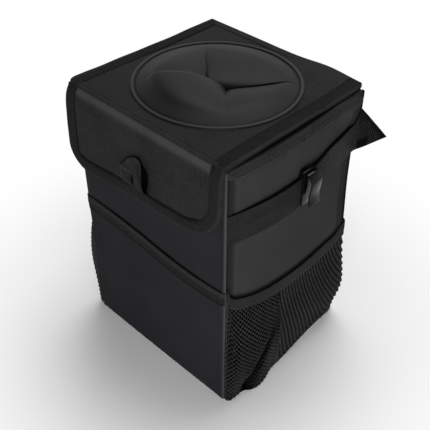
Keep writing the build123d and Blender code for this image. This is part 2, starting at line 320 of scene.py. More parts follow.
def blackCloth(name, look):
    # One black finish: mottled tone, weave on Object coordinates, and the rest on the piece's own UV map
    look = {**plainLook, **look}
    material = bpy.data.materials.new(name)
    material.use_nodes = True
    tree = material.node_tree
    shader = tree.nodes["Principled BSDF"]
    coords = tree.nodes.new("ShaderNodeTexCoord")
    tone = useGroup(tree, mottle, Vector=coords.outputs["Object"], Broad=look["broad"], Fine=look["fine"])
    clouds, specks = tone.outputs["Clouds"], tone.outputs["Specks"]
    share = maths(tree, "ADD", maths(tree, "MULTIPLY", clouds, cloudShare),
                  maths(tree, "MULTIPLY", specks, look["speckShare"]))
    height = maths(tree, "MULTIPLY", specks, look["speckDepth"])
    layers = []
    if look["threads"]:
        woven = useGroup(tree, weave, Vector=coords.outputs["Object"], Threads=look["threads"])
        layers.append((woven, look["weaveShare"]))
    if look["ribsAcross"] or look["holes"]:
        split = tree.nodes.new("ShaderNodeSeparateXYZ")
        tree.links.new(coords.outputs["UV"], split.inputs[0])
    if look["ribsAcross"]:
        ribbed = useGroup(tree, ribs, Along=split.outputs[1], Pitch=look["ribsAcross"])
        layers.append((ribbed, look["ribShare"]))
    if look["twill"]:
        slanted = useGroup(tree, chevron, Vector=coords.outputs["UV"], Pitch=look["twill"],
                           Stripe=look["stripe"])
        layers.append((slanted, look["twillShare"]))
    if look["holes"]:
        # Rows of small holes, each row half a step on from the last; a piece with no UV map has none
        waves = [maths(tree, "COSINE",
                       maths(tree, "MULTIPLY", split.outputs[k], 2 * math.pi / look["holes"][k])) for k in (0,
                                                                                                            1)]
        gaps = maths(tree, "MULTIPLY", maths(tree, "MULTIPLY", waves[0], waves[1]), holeSpread)
        gaps = maths(tree, "MINIMUM", maths(tree, "MAXIMUM", gaps, 0.0), 1.0)
        share = maths(tree, "MULTIPLY_ADD", gaps, holeDepth, share)
        height = maths(tree, "MULTIPLY_ADD", gaps, holeDepth, height)
    for node, tint in layers:
        height = maths(tree, "ADD", node.outputs["Height"], height)
        centred = maths(tree, "SUBTRACT", node.outputs["Height"], 0.5)
        share = maths(tree, "MULTIPLY_ADD", centred, tint, share)
    ramp = tree.nodes.new("ShaderNodeValToRGB")
    for stop, place, colour in zip(ramp.color_ramp.elements, rampStops, (look["dark"], look["light"])):
        stop.position, stop.color = place, (*colour, 1)
    tree.links.new(share, ramp.inputs[0])
    # Painted on the piece's points: above 0 a painted highlight, below 0 painted shade
    painted = tree.nodes.new("ShaderNodeAttribute")
    painted.attribute_name = "tone"
    toned = useGroup(tree, paintedLightGroup, Color=ramp.outputs["Color"], Tone=painted.outputs["Fac"],
                     Pale=look["paintedHighlight"])
    tree.links.new(toned.outputs["Color"], shader.inputs["Base Color"])
    low, high = look["rough"]
    tree.links.new(maths(tree, "MULTIPLY_ADD", clouds, high - low, low), shader.inputs["Roughness"])
    bump = tree.nodes.new("ShaderNodeBump")
    bump.inputs["Strength"].default_value = look["bump"]
    bump.inputs["Distance"].default_value = look["bumpDepth"]
    tree.links.new(height, bump.inputs["Height"])
    tree.links.new(bump.outputs["Normal"], shader.inputs["Normal"])
    shader.inputs["Specular IOR Level"].default_value = look["specular"]
    if look["sheen"]:
        shader.inputs["Sheen Weight"].default_value = look["sheen"]
        shader.inputs["Sheen Roughness"].default_value = sheenRough
    return material


def grey(level, blue=1.0):
    return (level, level, level * blue)


finishes = {
    "coatedCloth": dict(dark=grey(.027), light=grey(.036), rough=(.6, .7), threads=1500, weaveShare=.15,
                        bump=.2, specular=0.0, paintedHighlight=.02),
    "oxfordCloth": dict(dark=grey(.009), light=grey(.0265), rough=(.65, .8), threads=1250, fine=420.0,
                        weaveShare=.35, speckShare=.6, bump=.5, specular=.04, paintedHighlight=.035),
    "smoothCloth": dict(dark=grey(.017, 1.13), light=grey(.023, 1.13), rough=(.5, .6), threads=2200,
                        weaveShare=.1, bump=.1, specular=0.0, paintedHighlight=.05),
    "tapeTwill": dict(dark=grey(.0008), light=grey(.0125), rough=(.65, .8), twill=.0018, stripe=.02, fine=380.0,
                      twillShare=.25, speckShare=.9, bump=.7, bumpDepth=.0003, specular=.04, paintedHighlight=.03),
    # The rim binding's tape is the same twill as the other tapes, made lighter here as painted light for the rim's
    # lit side
    "litTapeTwill": dict(dark=grey(.002), light=grey(.023), rough=(.65, .8), twill=.0018, stripe=.02, fine=380.0,
                     twillShare=.25, speckShare=.9, bump=.7, bumpDepth=.0003, specular=.04, paintedHighlight=.03),
    "tabCloth": dict(dark=grey(.002), light=grey(.017), rough=(.6, .75), threads=900, weaveShare=.5, fine=400.0,
                     speckShare=.8, bump=.8, specular=.04, paintedHighlight=.05),
    "webbing": dict(dark=grey(.001), light=grey(.028), rough=(.6, .75), twill=.0021, fine=420.0,
                    twillShare=1.0, threads=1000, bump=.9, bumpDepth=.0005, specular=.05, paintedHighlight=.03),
    "meshCord": dict(dark=grey(.012), light=grey(.034), rough=(.5, .7), bump=.3, specular=.08, paintedHighlight=.02,
                     holes=(.0034, .0049)),
    "elastic": dict(dark=grey(.008), light=grey(.022), rough=(.6, .75), ribsAcross=.0016, ribShare=.4,
                    threads=1500, bump=.5, bumpDepth=.0003, specular=.06),
    "discCloth": dict(dark=grey(.007), light=grey(.011), rough=(.4, .48), fine=1500.0, threads=2400,
                      weaveShare=.1, bump=.12, specular=.09, paintedHighlight=.05),
    "clipPlastic": dict(dark=grey(.002), light=grey(.004), rough=(.12, .18), bump=.05, specular=.16),
    "sliderPlastic": dict(dark=grey(.004), light=grey(.007), rough=(.35, .45), bump=.1, specular=.25),
    "linerFilm": dict(dark=grey(.008), light=grey(.016), rough=(.38, .5), broad=60.0, bump=.3,
                      bumpDepth=.0006, specular=.2),
    "thread": dict(dark=grey(.006), light=grey(.02), rough=(.6, .7), specular=.1),
    "paleThread": dict(dark=grey(.025), light=grey(.07), rough=(.6, .7), specular=.1),
    "loopFuzz": dict(dark=grey(.003), light=grey(.016), rough=(.85, .95), fine=2600.0, speckDepth=1.0,
                     bump=.9, bumpDepth=.0006, specular=.06, sheen=.1),
    "hookTape": dict(dark=grey(.004), light=grey(.016), rough=(.4, .5), threads=700, weaveShare=.8,
                     bump=.9, bumpDepth=.0006, specular=.15),
}
cloth = {name: blackCloth(name, look) for name, look in finishes.items()}
print("stage: materials")


walls = dict(faceY=76.0, seamY=73.2, sideX=78.0, sideBow=4.0, top=245.1, settle=2.8)


def settle(y):
    # The lid and the rim sit a little lower towards the back
    return walls["settle"] * min(1.0, max(0.0, (y + 60) / 138))


def settled(y, z):
    return z - settle(y) * ease(z, 205, 244)


def sideBulge(y):
    return walls["sideX"] + walls["sideBow"] * (1 - (y / walls["seamY"]) ** 2)


# Front and back sheets, wrapped round the edges of their boards
panelPlan = np.array([(-79.0, 73.5), (-80.2, 73.9), (-80.7, 74.9), (-80.5, 76.0), (-79.6, 76.7), (-78.2, 76.6),
                      (-76.0, 76.1), (-70.0, 76.0)])
panelPlan = np.vstack([panelPlan, (-panelPlan[::-1]) * (1, -1)])
panelShares = np.array([0, .012, .024, .036, .048, .062, .09, .14])
panelShares = np.concatenate([panelShares, 1 - panelShares[::-1]])


def panelFace(sign, reach):
    def place(u, v):
        x = spaced(u, panelShares, panelPlan[:, 0]) * reach
        y = spaced(u, panelShares, panelPlan[:, 1])
        z = settled(sign * y, walls["top"] * v)
        y += 0.15 * math.sin(z / 31 + 1.2) * (1 - min(1, abs(x) / 76) ** 2)
        return (x, sign * y, z)
    return place


def panelThick(u, v):
    return 0.6 + 2.1 * ease(min(u, 1 - u), .06, .1)


frontWall = layCloth("frontWall", 100, 60, panelFace(-1, 1.0), panelThick, (0, -1, 0))
finishPiece(frontWall, "body", cloth["smoothCloth"], "smooth_cloth", "front_panel", "front_board")
backWall = layCloth("backWall", 100, 60, panelFace(1, 0.95), panelThick, (0, 1, 0))
finishPiece(backWall, "body", cloth["smoothCloth"], "smooth_cloth", "back_panel", "back_board")
# Painted highlight along the front panel's upright edges, strong on the right, faint on the left
paintLightAndShade(frontWall, lambda x, y, z: ease(abs(x), 79.7, 80.5) * (.6 if x > 0 else .1) * ease(-y, 73.4, 74.4))

# Side sheets: a padded plane between two narrow rounded strips
sideStops = (0, .03, .1, .15, .85, .9, .97, 1)
sidePlaces = (-73.1, -72.2, -66.5, -63.5, 65.5, 70.0, 75.4, 78.0)


def backSwell(y, z):
    # The sides stand out a little further beside the back corners
    return ease(y, 46, 70) * (2.4 * hump(z, 105, 36) + 4.2 * ease(z, 210, 231))


def sideFace(sign):
    def place(u, v):
        y = spaced(u, sideStops, sidePlaces)
        z = 0.6 + (walls["top"] - 0.6) * v
        reach = -y if y < 0 else y - 2
        x = sideBulge(y) - 0.9 * ease(reach, 61.5, 68)
        x += 0.8 * math.sin(math.pi * min(1, max(0, (reach - 66) / 6.4)))
        if y < 0:
            x -= 1.6 * ease(reach, 72.2, 73.0)
        else:
            x = max(x, sideBulge(66) - .3) + 0.9 * ease(y, 66, 73)
            x -= 3.4 * (1 - math.sqrt(max(0.0, 1 - min(1, max(0.0, y - 74.6) / 3.4) ** 2)))
        x += 0.4 * math.sin(z / 27) * math.sin(y / 23 + 1) * ease(66 - reach, 0, 20) + backSwell(y, z)
        return (sign * x, y, settled(y, z))
    return place


def sideShading(x, y, z):
    # Painted shade in the strips beside the seams, inside the mesh pocket and in a line just above its band; a
    # painted highlight along the plane's border
    reach = -y if y < 0 else y - 2
    strip = .38 * ease(reach, 62, 66) + .3 * ease(reach, 68, 71.6) + .35 * ease(reach, 72.2, 72.8)
    border = .15 * hump(reach, 62, 1.2)
    drop = netTop(y) - z
    pocketShade = max(ease(drop, 3, 12) * .88, .9 * hump(drop, -1.3, 2.4))
    return border * (1 - pocketShade) - max(strip, pocketShade)


netTopStops = (-77, -72.5, -69.7, -64, -58, -53.7, -41.5, -25.5, -8.6, 9.5, 28.7, 40.9, 49.4, 58, 66, 74, 79)
netTopHeights = (139, 131, 122.9, 117.1, 113.8, 111.7, 107.1, 103.1, 101.2, 99.5, 98.9, 99, 99.2, 100.4, 103.2,
                 108, 113)


def netTop(y):
    # Height of the mesh pockets' mouth
    return spaced(y, netTopStops, netTopHeights)


for sign, word in bothSides:
    wall = layCloth(f"sideWall_{word}", 120, 120, sideFace(sign), 2.9, (sign, 0, 0))
    paintLightAndShade(wall, sideShading)
    finishPiece(wall, "body", cloth["coatedCloth"], "outer_cloth", f"side_panel_{word}", f"side_board_{word}")


def bottomFace(u, v):
    y = spaced(v, (0, 1), (-73.0, 73.0))
    x = (2 * u - 1) * (sideBulge(y) - 0.3)
    return (x, y, 0.25 * ease(abs(x), 70, 82))


bottomSheet = layCloth("bottomSheet", 30, 30, bottomFace, 2.8, (0, 0, -1))
finishPiece(bottomSheet, "body", cloth["coatedCloth"], "outer_cloth", "bottom_panel", "bottom_board")


def rimLoop(out, corner=3.0, swell=0.0):
    # Plan of the body's outline, a distance out from the walls' faces
    reachY = walls["faceY"] + out
    endX = sideBulge(reachY - corner) + out
    turns = np.radians(np.linspace(0, 90, 6))
    half = [(x, -reachY) for x in np.linspace(0, endX - corner, 24)]
    half += [(endX - corner + corner * math.sin(a), -reachY + corner - corner * math.cos(a)) for a in turns[1:]]
    half += [(sideBulge(y) + out, y) for y in np.linspace(-reachY + corner, reachY - corner, 42)[1:]]
    half += [(endX - corner + corner * math.cos(a), reachY - corner + corner * math.sin(a)) for a in turns[1:]]
    half += [(x, reachY) for x in np.linspace(endX - corner, 0, 24)[1:]]
    half = [(x + swell * ease(y, 46, 70) * ease(x, 60, 76), y) for x, y in half]
    return np.array(half + [(-x, y) for x, y in reversed(half)])


linerLoop = rimLoop(-3.4)


def linerFace(u, v):
    ring = along(linerLoop, u)
    if v < 0.72:
        z = 245.0 - 241.0 * v / 0.72
        wave = math.sin(ring[0] / 9 + ring[1] / 7) * math.sin(z / 21)
        shrink = 1 - max(0.0, wave) * 0.005 * ease(v, 0, .1) * ease(.72 - v, 0, .06)
        return (ring[0] * shrink, ring[1] * shrink, settled(ring[1], z))
    left = max(0.02, 1 - (v - 0.72) / 0.28)
    return (ring[0] * left, ring[1] * left, 3.9 + 0.5 * math.sin(ring[0] * left / 13) * (1 - left))


innerLiner = layCloth("innerLiner", 150, 56, linerFace, -0.4, closed=True)
finishPiece(innerLiner, "body", cloth["linerFilm"], "liner_film", "inner_liner")

rimTape = dict(out=0.8, top=245.8, inside=-4.1, insideLow=232.0)
rimOuter, rimInner = rimLoop(rimTape["out"], 2.4, 4.2), rimLoop(rimTape["inside"])


def rimLow(y):
    # The tape dips a little along the sides, and turns up at the front corners
    return spaced(y, (-77, -74.8, -72.8, -70, -66, -60, -40, -10, 11, 38, 56, 77),
                  (243.5, 241.5, 237.6, 235.2, 233.6, 232.4, 231, 231, 231.6, 232.4, 233, 233))


def rimFace(u, v):
    a, b = along(rimOuter, u), along(rimInner, u)
    stops = (0, .36, .44, .56, .64, 1)
    across = spaced(v, stops, (0, 0, .12, .88, 1, 1))
    z = spaced(v, stops, (rimLow(a[1]), 245.0, rimTape["top"], rimTape["top"], 245.0, rimTape["insideLow"]))
    x, y = a + (b - a) * across
    puff = 0.7 * math.sin(math.pi * min(1, v / .34)) + 0.2 * math.sin(a[1] / 5.2) * hump(v, .05, .08)
    return (x * (1 + puff / 80), y * (1 + puff / 80), settled(y, z))


def rimShading(x, y, z):
    # Painted highlight along the hem, darker at the seam, and painted shadow, nearly black, along the top of the tape
    # where the lid lies on it
    hem = .5 * hump(z, rimLow(y) + 1.2 - settle(y), .8) - .5 * hump(z, rimLow(y) - settle(y), .5)
    return hem - .9 * ease(z, 243.2, 244.2) * ease(abs(x), 76, 79)


rimBinding = layCloth("rimBinding", 260, 26, rimFace, 0.5, closed=True)
paintLightAndShade(rimBinding, rimShading)
finishPiece(rimBinding, "body", cloth["litTapeTwill"], "tape", "rim_binding")

# Front pocket
pocket = dict(footBow=0.4, mouthBow=0.9, foot=0.9)


def pocketMouth(x):
    return spaced(x, (-80, -60, -42, -25, -8, 5, 17, 30, 45, 60, 70, 80),
                  (139, 139, 138.4, 137.4, 135.8, 134.0, 132.6, 131.4, 130.8, 131.0, 131.6, 133.2))


def pocketBow(x, share):
    bow = pocket["footBow"] + (pocket["mouthBow"] - pocket["footBow"]) * share
    return bow * (1 - min(1, abs(x / 79.5)) ** 2.2)


def pocketSide(x, z):
    # Rounded lower corners, and a hem rolled round the panel's edge
    lift = 6.0 * ease(abs(x), 72.5, 80.5) ** 2 * (x < 0) + 2.0 * ease(abs(x), 76, 80.5) * (x > 0)
    return z + lift * max(0.0, 1 - z / 16)


def pocketFace(u, v):
    x = spaced(u, (0, .03, .06, .94, .97, 1), (-80.6, -79.6, -75, 75, 79.6, 80.6))
    z = pocket["foot"] + (pocketMouth(x) - 0.6 - pocket["foot"]) * v
    edge = 0.5 * hump(abs(x), 77.5, 1.8) - 1.6 * ease(abs(x), 79.4, 80.7)
    sag = 0.3 * math.sin(x / 17 + z / 40) * math.sin(z / 43) * ease(79 - abs(x), 0, 25)
    pucker = 0.25 * math.sin(x / 2.2) * hump(z, pocketMouth(x) - 18, 5) * ease(abs(x), 50, 78)
    return (x, -76.75 - pocketBow(x, v) - edge - sag - pucker, pocketSide(x, z))


frontPocket = layCloth("frontPocket", 110, 56, pocketFace, 0.7, (0, -1, 0))
finishPiece(frontPocket, "body", cloth["smoothCloth"], "smooth_cloth", "front_pocket")


def pocketTapeFace(u, v):
    x = spaced(u, (0, .02, .05, .95, .98, 1), (-80.9, -80.0, -75, 75, 80.0, 80.9))
    stops = (0, .5, .56, .62, 1)
    top = pocketMouth(x)
    z = top + spaced(v, stops, (-14.0, -0.6, 0.3, -0.6, -10.0))
    y = spaced(v, stops, (-77.4, -77.3, -76.8, -76.3, -76.3))
    roll = 0.75 * hump(v, .33, .14) + 0.3 * hump(v, .08, .1)
    if v < .58:
        # The outer leg is rolled round the panel's edge
        roll = roll + 0.5 * hump(abs(x), 77.5, 1.8) - 1.6 * ease(abs(x), 79.4, 80.9)
    return (x, y - pocketBow(x, 1) - roll, z)


def pocketTapeShading(x, y, z):
    # Painted highlight along the rounded top of the tape, and darker at its lower seam
    drop = pocketMouth(x) - z
    return .45 * hump(drop, 2.6, 1.6) - .7 * hump(drop, 13.4, 1.3)


pocketTape = layCloth("frontPocketTape", 110, 24, pocketTapeFace, 0.45, (0, -1, 0))
paintLightAndShade(pocketTape, pocketTapeShading)
finishPiece(pocketTape, "body", cloth["tapeTwill"], "tape", "front_pocket_binding")
print("stage: body walls and front pocket")

# Mesh pockets at the sides: gathered to the wall at the mouth, slack lower down, sewn at the foot
net = dict(floor=0.8, cell=4.7, cord=1.5, waist=0.4, pleat=3.75, depth=0.9, crease=-15.0, foldDeep=5.4)
netFoot = roundedLine([(79.0, -74.0), (83.5, -75.6), (86.3, -75.0), (87.0, -68), (87.3, -57), (90.5, -54.8),
                       (93.0, -50), (93.9, -43), (92.6, -34), (89.6, -26), (88.8, -20), (88.4, -4), (86.2, 18),
                       (84.6, 40), (84.2, 56), (84.6, 68), (82.5, 75.0), (79.6, 75.6)], 2)
netBelly = roundedLine([(79.4, -74.2), (84.5, -76.6), (88.0, -75.2), (90.2, -69), (91.0, -60), (91.6, -50),
                        (91.8, -40), (90.6, -28), (89.4, -18), (89.8, -8), (90.2, 8), (90.6, 26), (90.4, 44),
                        (91.4, 60), (91.4, 70), (88.2, 77.6), (83.0, 78.6), (79.6, 76.2)], 2)
netMouth = roundedLine([(79.6, -74.0), (80.6, -74.6), (81.2, -72.5),
                        *((sideBulge(y) + 1.4 + backSwell(y, 105), y) for y in range(-68, 73, 7)),
                        (82.8, 75.4), (81.6, 77.8), (78.0, 78.0)], 1)


def netPoint(sign, share, rise, out=0.0):
    # rise is 0 at the foot and 1 at the mouth
    foot, belly, mouth = along(netFoot, share), along(netBelly, share), along(netMouth, share)
    if rise < .38:
        x, y = foot + (belly - foot) * ease(rise, 0, .38)
    else:
        x, y = belly + (mouth - belly) * ease(rise, .38, 1)
    top = netTop(y)
    z = net["floor"] + (top - net["floor"]) * rise
    valley = -56 + 34 * ease(rise, 0, .6)
    x -= net["foldDeep"] * hump(y, valley, 4.2) * (1 - ease(rise, .2, .66)) * ease(rise, -.02, .05)
    x += 0.8 * hump(y, net["crease"] + 3 * (1 - rise), 1.2) * ease(rise, .1, .3)
    if sign < 0:
        x += 5.2 * hump(rise, .72, .3) * (1 - ease(y, -70, -52)) * ease(share, 0, .04)
    pleated = ease(y, net["crease"], net["crease"] + 4) * ease(rise, -.02, .06) * (1 - .6 * ease(rise, .85, 1))
    x += net["depth"] * math.cos(2 * math.pi * pleatPhase(y, top - z)) * pleated
    x = max(x + out, sideBulge(y) + 1.1 + backSwell(y, z) + out) if abs(y) < 73 else x + out
    return (sign * x, y, z)


def pleatPhase(y, drop):
    # The pleats start upright at the band, and sweep back more and more on their way down
    sweep = (max(0.0, drop) / 42) ** 1.8
    return (y - 6.0 * sweep) / (1 + .11 * sweep) / net["pleat"]


netCrease = next(t for t in np.linspace(0, 1, 400) if along(netBelly, t)[1] > net["crease"])


def knitNet(name, sign):
    # Diamond cells with a point in the middle of each side; the Wireframe modifier makes cords of the sides,
    # thick at the knots and thin between them, so that the holes come out round
    reach = netCrease + .012
    columns, rows = int(lineLength(netBelly) * reach / net["cell"]) * 2, 2 * int(112 / net["cell"])
    points, index, faces, knots = [], {}, [], []

    def point(i, j):
        if (i, j) not in index:
            index[i, j] = len(points)
            points.append(netPoint(sign, i / columns * reach, j / rows * .97))
            knots.append(1.0 if i == int(i) and j == int(j) else net["waist"])
        return index[i, j]

    for i in range(1, columns):
        for j in range(1, rows):
            if (i + j) % 2:
                corners = [(i, j - 1), (i + 1, j), (i, j + 1), (i - 1, j)]
                loop = []
                for k, (ci, cj) in enumerate(corners):
                    ni, nj = corners[(k + 1) % 4]
                    loop += [point(ci, cj), point((ci + ni) / 2, (cj + nj) / 2)]
                faces.append(loop[::sign])
    piece = meshPiece(name, np.array(points) * mm, faces)
    weights = piece.vertex_groups.new(name="knots")
    for k, weight in enumerate(knots):
        weights.add([k], weight, "REPLACE")
    wires = piece.modifiers.new("cords", "WIREFRAME")
    wires.thickness = net["cord"] * mm
    wires.vertex_group = "knots"
    wires.use_even_offset = False
    wires.use_replace = True
    wires.use_boundary = True
    applyModifiers(piece)
    smoothFaces(piece, 60)
    return piece


def netFloorFace(sign):
    def place(u, v):
        x, y = along(netFoot, u)
        wallX = sideBulge(max(-73, min(73, y))) - 1.0
        return (sign * (wallX + (x - wallX) * v), y, 0.45 + 0.3 * v)
    return place


def netShading(x, y, z):
    # Painted shade at the bottoms of the pleats and in the deep fold, where little light comes, and a painted
    # highlight on the pleats' crests
    phase = pleatPhase(y, netTop(y) - z)
    pleated = ease(y, net["crease"] - 1, net["crease"] + 3)
    rise = z / netTop(y)
    fold = hump(y, -56 + 34 * ease(rise, 0, .6), 4.6) * (1 - ease(rise, .3, .7))
    valley = 0.5 - 0.5 * math.cos(2 * math.pi * phase)
    return .3 * pleated * (1 - valley) ** 2 - min(.97, pleated * min(1, 1.5 * valley) + .95 * fold ** .7)


def netHemFace(sign, start, end):
    return lambda u, v: netPoint(sign, start + (end - start) * u, v * .97, .2)


netTape = dict(tall=11.6, face=1.0, back=-0.8)


def netTapeFace(sign):
    def place(u, v):
        stops = (0, .5, .56, .62, 1)
        x, y = along(netMouth, u)
        z = netTop(y) + spaced(v, stops, (-netTape["tall"], -0.7, 0.3, -0.7, -netTape["tall"] + 1.5))
        out = spaced(v, stops, (netTape["face"], netTape["face"], .2, netTape["back"], netTape["back"]))
        return (sign * (x + out + 0.3 * hump(v, .25, .15) + 0.1 * math.sin(y * 2.1)), y, z)
    return place


for sign, word in bothSides:
    cords = knitNet(f"cords_{word}", sign)
    floorSheet = layCloth(f"foot_{word}", 80, 8, netFloorFace(sign), 0.5, (0, 0, -1))
    # Behind the crease the net is gathered in pleats so close that it is laid as one cloth
    hem = .02 if sign > 0 else .055
    hems = [layCloth(f"hem_{word}", 10, 40, netHemFace(sign, 0, hem), 0.5, (sign, -1, 0)),
            layCloth(f"pleats_{word}", 250, 56, netHemFace(sign, netCrease, 1), 0.8, (sign, 0, 0))]
    pocketNet = joinPieces(f"meshPocket_{word}", [cords, floorSheet, *hems])
    paintLightAndShade(pocketNet, netShading)
    finishPiece(pocketNet, "body", cloth["meshCord"], "mesh", f"mesh_pocket_{word}")
    band = layCloth(f"meshPocketBand_{word}", 120, 20, netTapeFace(sign), 0.45, (sign, 0, 0))
    finishPiece(band, "body", cloth["elastic"], "elastic", f"mesh_binding_{word}")
print("stage: mesh pockets")

# Webbing round each side, with its loop at the back corner and its run across the back
strap = dict(height=27.0, thick=1.2, reachX=86.5, middleY=6, halfY=79.2, bow=7.3)
bandCentreX = strap["reachX"] - (strap["halfY"] ** 2 + strap["bow"] ** 2) / (2 * strap["bow"])
bandRadius = strap["reachX"] - bandCentreX


def strapLines(runY):
    # Lower and upper edge of the strip, each a line in space
    edges = []
    for top in (0, 1):
        line = []
        for y in np.linspace(-73.0, 74.0, 38):
            x = bandCentreX + math.sqrt(bandRadius ** 2 - (y - strap["middleY"]) ** 2)
            low = spaced(y, (-73, -50, -30, -8, 8, 25, 37, 50, 67, 74),
                         (177.6, 175.4, 174.0, 174.0, 175.6, 179.5, 183.2, 184.4, 186, 186.5))
            line.append((x - .6 * hump(y, -73, 3), y, low + strap["height"] * top))
        if top:
            line += [(80.9, 76.6, 214.6), (80.6, 78.6, 216), (80.2, 81.0, 218.5), (79.0, 83.6, 220.5),
                     (77.6, 85.6, 221), (75.6, 86.6, 219.5), (74, 86.6, 216), (70, 86.0, 210)]
        else:
            line += [(81.6, 77.6, 186.6), (86, 80.6, 189.5), (93, 84.8, 195.5), (99.6, 88.4, 201.2),
                     (101.0, 90.6, 202.2), (98.6, 92.4, 200.0), (92, 91.0, 194.0), (82, 88.4, 186.0)]
        line += [(x, runY, 179.5 + strap["height"] * top) for x in np.linspace(60, -52, 22)]
        edges.append(roundedLine(line, 1))
    return edges


def strapFace(sign, runY):
    low, top = strapLines(runY)
    # Both edges are walked by point number, so that they stay level with each other
    def place(u, v):
        at = u * (len(low) - 1)
        i = min(int(at), len(low) - 2)
        a = low[i] + (low[i + 1] - low[i]) * (at - i)
        b = top[i] + (top[i + 1] - top[i]) * (at - i)
        x, y, z = a + (b - a) * v
        cup = 0.25 * math.sin(math.pi * v)
        return (sign * (x + cup * (y < 75)), y + cup * (y >= 80), z)
    return place


foldFrom, foldTo = np.array([77.6, 85.6, 221.0]), np.array([101.0, 90.6, 202.2])
foldRun = foldTo - foldFrom


def strapShading(x, y, z):
    # Painted shade on the loop along the edge where it folds back and where it turns under, and darker past the back
    # corner; a painted highlight along the middle of the side run
    point = np.array([abs(x), y, z])
    share = max(0.0, min(1.0, float((point - foldFrom) @ foldRun / (foldRun @ foldRun))))
    away = float(np.linalg.norm(foldFrom + foldRun * share - point))
    low = spaced(abs(x), (81, 86, 93, 99.6), (186.6, 189.5, 195.5, 201.2))
    folded = .9 * (1 - ease(away, 2.4, 4)) * (y > 78)
    under = .95 * ease(90.5 - abs(x), 0, 3) * (1 - ease(z - low, 8, 11)) * (y > 77.4)
    return .3 * hump(y, 50, 25) * (y < 78) - max(folded, under, .35 * ease(y, 76, 80), .9 * ease(y, 86, 88))


for sign, word, runY in ((1, "right", 84.6), (-1, "left", 86.15)):
    band = layCloth(f"sideWebbing_{word}", 260, 12, strapFace(sign, runY), strap["thick"], (sign, 0, 0))
    paintLightAndShade(band, strapShading)
    finishPiece(band, "body", cloth["webbing"], "webbing", f"webbing_{word}")
print("stage: webbing")

# Lid, its lining and tapes
lid = dict(front=-78.3, back=77.4, top=250.0, lining=246.65, hole=60.6)


def lidFlare(x, y):
    left = spaced(y, (-78.3, -77.3, -76, -74.5, -72, -45, -7, 13, 38, 67, 78),
                  (-1.6, 0.6, 2.2, 3.2, 3.8, 2.4, 1.2, 0.2, 0, 0.4, 0))
    right = spaced(y, (-78, -58, 60, 78), (.6, 0, 0, -1.2))
    return right * ease(x, 60, 80) - left * ease(-x, 50, 80)


def lidWave(x, y):
    curl = 2.4 * hump(x, 48, 22) * ease(y, 40, 76)
    return curl + 0.4 * math.sin(x / 19 + 1) * math.sin(y / 23) * ease(max(abs(x), abs(y)), 62, 70)


def lidPlan(u, v):
    side, t = divmod(4 * u, 1)
    t = 2 * t - 1
    turn = math.radians(90 * (int(side) % 4))
    middleY, halfY = (lid["front"] + lid["back"]) / 2, (lid["back"] - lid["front"]) / 2
    cx, cy = math.cos(turn) - t * math.sin(turn), math.sin(turn) + t * math.cos(turn)
    outer = np.array([80.0 * cx, middleY + halfY * cy])
    inner = np.array([cx, cy]) / math.hypot(cx, cy) * lid["hole"]
    x, y = inner + (outer - inner) * v
    return x + lidFlare(x, y), y


def lidFace(level, wave=True):
    def place(u, v):
        x, y = lidPlan(u, v)
        return (x, y, level - settle(y) + (lidWave(x, y) if wave else 0))
    return place


lidTop = layCloth("lidTop", 160, 14, lidFace(lid["top"]), 2.7, (0, 0, 1), closed=True)
finishPiece(lidTop, "lid", cloth["oxfordCloth"], "outer_cloth", "lid_cover", "lid_board")
lidLining = layCloth("lidLining", 160, 14, lidFace(lid["lining"], False), 0.5, (0, 0, -1), closed=True)
finishPiece(lidLining, "lid", cloth["linerFilm"], "liner_film", "lid_lining")

lidTapeEnds = (-78.0, 76.5)
lidTapeEdge = np.array([(69.4, 246.05), (78.6, 246.05), (80.3, 246.5), (80.75, 247.6), (80.75, 249.2),
                        (80.2, 250.2), (78.8, 250.65), (69.4, 250.5)])


def lidTapeFace(sign):
    def place(u, v):
        y = lidTapeEnds[0] + (lidTapeEnds[1] - lidTapeEnds[0]) * u
        x, z = along(lidTapeEdge, v)
        z += lidWave(sign * x, y) * (v > .6) + 0.15 * math.sin(y / 6) * hump(v, .5, .3) - settle(y)
        return (sign * x + lidFlare(sign * x, y), y, z)
    return place


def lidTapeShading(x, y, z):
    # Painted highlight along the outer roll, darker at the seam, and painted shade on the tape's lower side under the
    # lid
    roll = .5 * hump(abs(x), 80.2, .6) * (z > 249 - settle(y))
    return roll - .7 * hump(abs(x), 69.6, .7) - .8 * ease(247.4 - settle(y) - z, 0, .8)


for sign, word in bothSides:
    tape = layCloth(f"lidTape_{word}", 70, 28, lidTapeFace(sign), 0.5, (sign, 0, 0))
    paintLightAndShade(tape, lidTapeShading)
    finishPiece(tape, "lid", cloth["tapeTwill"], "tape", f"lid_binding_{word}")

# Slit disc: a flat ring and four leaves that meet at the slits
disc = dict(ring=62.4, sheet=2.0)
ringEdge = np.array([(60.7, 249.9), (61.9, 250.6), (62.5, 250.5), (63.0, 251.1), (63.8, 251.5), (65.4, 251.4),
                     (66.3, 251.0), (66.6, 250.0)])


def ringFace(u, v):
    r, z = along(ringEdge, v)
    x, y = r * math.cos(2 * math.pi * u), r * math.sin(2 * math.pi * u)
    return (x, y, z - settle(y))


def slitLine(points, angle, low):
    # One edge of a leaf, from the crossing out to the ring
    turn = math.radians(angle)
    end = (disc["ring"] * math.cos(turn), disc["ring"] * math.sin(turn), 250.7)
    return roundedLine([*points, (end[0] * .84, end[1] * .84, low), end], 2)


